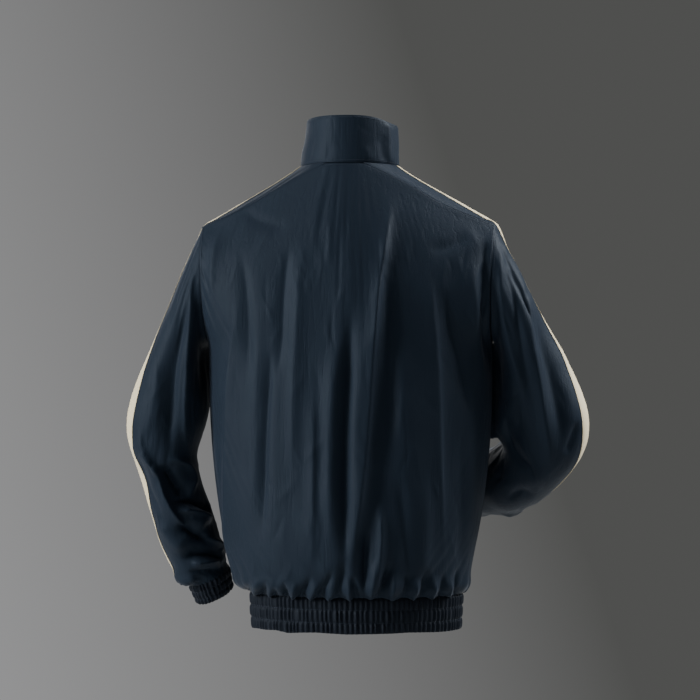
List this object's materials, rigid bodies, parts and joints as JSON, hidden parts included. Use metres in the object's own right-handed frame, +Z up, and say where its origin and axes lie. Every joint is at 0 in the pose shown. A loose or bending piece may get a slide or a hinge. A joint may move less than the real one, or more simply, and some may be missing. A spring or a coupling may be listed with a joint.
{
  "type": "reversible windbreaker",
  "caption": "Light zip-up windbreaker with a stand-up collar, elastic cuffs and a gathered elastic hem band, in the hollow form it has when worn.",
  "frame": {"origin": "centre of the neck opening at the level of the collar's seam, where the wearer's neck or a dress form holds the jacket", "axes": "+Z up the neck, +X to the wearer's left, -Y the way the wearer faces, so the zip is on the -Y side"},
  "size_m": [0.6894, 0.346, 0.7371],
  "materials": {
    "shell": "dark navy nylon with a soft satin sheen",
    "elastic": "dark navy nylon gathered over elastic",
    "sleeve_tape": "cream woven tape",
    "zip_tape": "dark navy woven tape",
    "zip_coil": "dark navy coil",
    "zip_metal": "dark nickel plating"
  },
  "bodies": {
    "garment": {"back_panel": "shell", "front_left": "shell", "front_right": "shell", "sleeve_left": "shell", "sleeve_right": "shell", "collar": "shell", "hem_band": "elastic", "cuff_left": "elastic", "cuff_right": "elastic", "sleeve_tape_left": "sleeve_tape", "sleeve_tape_right": "sleeve_tape", "zip_tape_left": "zip_tape", "zip_tape_right": "zip_tape", "zip_teeth": "zip_coil", "zip_box": "zip_metal", "zip_slider": "zip_metal"},
    "pull_tab": {"zip_pull": "zip_metal"}
  },
  "joints": [
    {"name": "pull_tab_turn", "type": "hinge", "parent": "garment", "child": "pull_tab", "pos_m": [0, -0.0662, 0.03939], "axis": [-1, 0, 0], "range_deg": [0, 150]}
  ]
}
